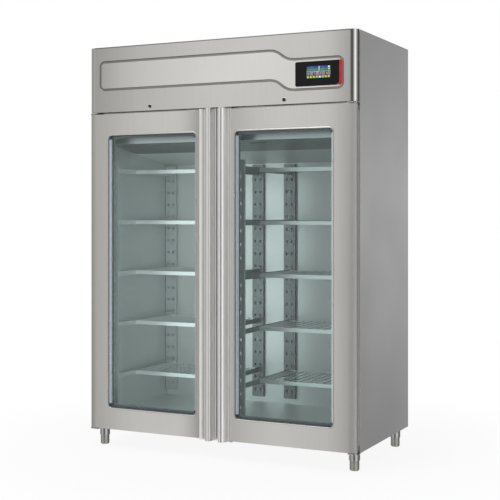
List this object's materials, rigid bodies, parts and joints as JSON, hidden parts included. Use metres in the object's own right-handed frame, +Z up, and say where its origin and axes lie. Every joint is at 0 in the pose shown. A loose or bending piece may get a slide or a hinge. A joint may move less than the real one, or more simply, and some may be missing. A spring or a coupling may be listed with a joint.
{
  "type": "dry aging cabinet",
  "caption": "Free-standing stainless dry aging cabinet with glazed hinged doors, wire shelves on racks, a tip-up control header with a touch screen, and adjustable feet",
  "frame": {"origin": "on the floor under the middle of the cabinet's bounding box", "axes": "+Z is up, -Y is the front with the doors, +X is the right-hand side seen from the front"},
  "size_m": [1.5, 0.79, 2.09],
  "materials": {
    "casing_steel": "satin",
    "front_steel": "satin",
    "profile_steel": "gloss",
    "fitting_steel": "satin",
    "rack_steel": "satin",
    "window_glass": "gloss",
    "frame_plastic": "satin",
    "seal_rubber": "matte",
    "panel_plastic": "gloss",
    "screen_glass": "gloss",
    "coil_aluminium": "satin",
    "fan_plastic": "satin",
    "compressor_paint": "satin",
    "machine_paint": "satin",
    "pipe_copper": "satin"
  },
  "bodies": {
    "cabinet": {"back_wall": "casing_steel", "ceiling_panel": "casing_steel", "floor_panel": "casing_steel", "centre_mullion": "casing_steel", "left_wall": "casing_steel", "right_wall": "casing_steel", "top_cover": "casing_steel", "rear_grille": "casing_steel", "left_lower_hinge": "fitting_steel", "left_upper_hinge": "fitting_steel", "right_lower_hinge": "fitting_steel", "right_upper_hinge": "fitting_steel", "left_inner_rack": "rack_steel", "left_outer_rack": "rack_steel", "right_inner_rack": "rack_steel", "right_outer_rack": "rack_steel", "left_shelf_1": "rack_steel", "left_shelf_2": "rack_steel", "left_shelf_3": "rack_steel", "left_shelf_4": "rack_steel", "left_shelf_5": "rack_steel", "right_shelf_1": "rack_steel", "right_shelf_2": "rack_steel", "right_shelf_3": "rack_steel", "right_shelf_4": "rack_steel", "right_shelf_5": "rack_steel", "evaporator_cover": "rack_steel", "evaporator_coil": "coil_aluminium", "condenser_coil": "coil_aluminium", "condenser_shroud": "machine_paint", "cable_gland": "fan_plastic", "compressor": "compressor_paint", "control_box": "machine_paint", "discharge_pipe": "pipe_copper"},
    "left_door": {"left_door_skin": "front_steel", "left_door_handle": "profile_steel", "left_outer_glass": "window_glass", "left_inner_glass": "window_glass", "left_door_inner_frame": "frame_plastic", "left_door_gasket": "seal_rubber"},
    "right_door": {"right_door_skin": "front_steel", "right_door_handle": "profile_steel", "right_outer_glass": "window_glass", "right_inner_glass": "window_glass", "right_door_inner_frame": "frame_plastic", "right_door_gasket": "seal_rubber"},
    "header": {"header_fascia": "front_steel", "left_header_corner": "profile_steel", "right_header_corner": "profile_steel", "control_panel": "panel_plastic", "display_screen": "screen_glass"},
    "left_lock_plug": {"left_lock": "fitting_steel"},
    "right_lock_plug": {"right_lock": "fitting_steel"},
    "left_fan": {"left_evaporator_fan": "fan_plastic"},
    "right_fan": {"right_evaporator_fan": "fan_plastic"},
    "rear_fan": {"condenser_fan": "fan_plastic"},
    "left_front_leg": {"left_foot_front": "fitting_steel"},
    "left_rear_leg": {"left_foot_rear": "fitting_steel"},
    "right_front_leg": {"right_foot_front": "fitting_steel"},
    "right_rear_leg": {"right_foot_rear": "fitting_steel"}
  },
  "joints": [
    {"name": "left_door_hinge", "type": "hinge", "parent": "cabinet", "child": "left_door", "pos_m": [-0.736, -0.36, 0.92], "axis": [0, 0, -1], "range_deg": [0, 105]},
    {"name": "right_door_hinge", "type": "hinge", "parent": "cabinet", "child": "right_door", "pos_m": [0.736, -0.36, 0.92], "axis": [0, 0, 1], "range_deg": [0, 105]},
    {"name": "header_tip", "type": "hinge", "parent": "cabinet", "child": "header", "pos_m": [0, -0.34, 2.083], "axis": [-1, 0, 0], "range_deg": [0, 70]},
    {"name": "left_lock_turn", "type": "hinge", "parent": "header", "child": "left_lock_plug", "pos_m": [-0.376, -0.375, 1.771], "axis": [0, -1, 0], "range_deg": [0, 90]},
    {"name": "right_lock_turn", "type": "hinge", "parent": "header", "child": "right_lock_plug", "pos_m": [0.376, -0.375, 1.771], "axis": [0, 1, 0], "range_deg": [0, 90]},
    {"name": "left_fan_spin", "type": "hinge", "parent": "cabinet", "child": "left_fan", "pos_m": [-0.3, 0.09708, 1.6417], "axis": [0, 1, 0], "continuous": true},
    {"name": "right_fan_spin", "type": "hinge", "parent": "cabinet", "child": "right_fan", "pos_m": [0.3, 0.09708, 1.6417], "axis": [0, 1, 0], "continuous": true},
    {"name": "condenser_fan_spin", "type": "hinge", "parent": "cabinet", "child": "rear_fan", "pos_m": [0.25, 0.15077, 1.8853], "axis": [0, 1, 0], "continuous": true},
    {"name": "left_front_leg_screw", "type": "hinge", "parent": "cabinet", "child": "left_front_leg", "pos_m": [-0.705, -0.29, 0.05], "axis": [0, 0, 1], "continuous": true},
    {"name": "left_rear_leg_screw", "type": "hinge", "parent": "cabinet", "child": "left_rear_leg", "pos_m": [-0.705, 0.315, 0.05], "axis": [0, 0, 1], "continuous": true},
    {"name": "right_front_leg_screw", "type": "hinge", "parent": "cabinet", "child": "right_front_leg", "pos_m": [0.705, -0.29, 0.05], "axis": [0, 0, 1], "continuous": true},
    {"name": "right_rear_leg_screw", "type": "hinge", "parent": "cabinet", "child": "right_rear_leg", "pos_m": [0.705, 0.315, 0.05], "axis": [0, 0, 1], "continuous": true}
  ]
}
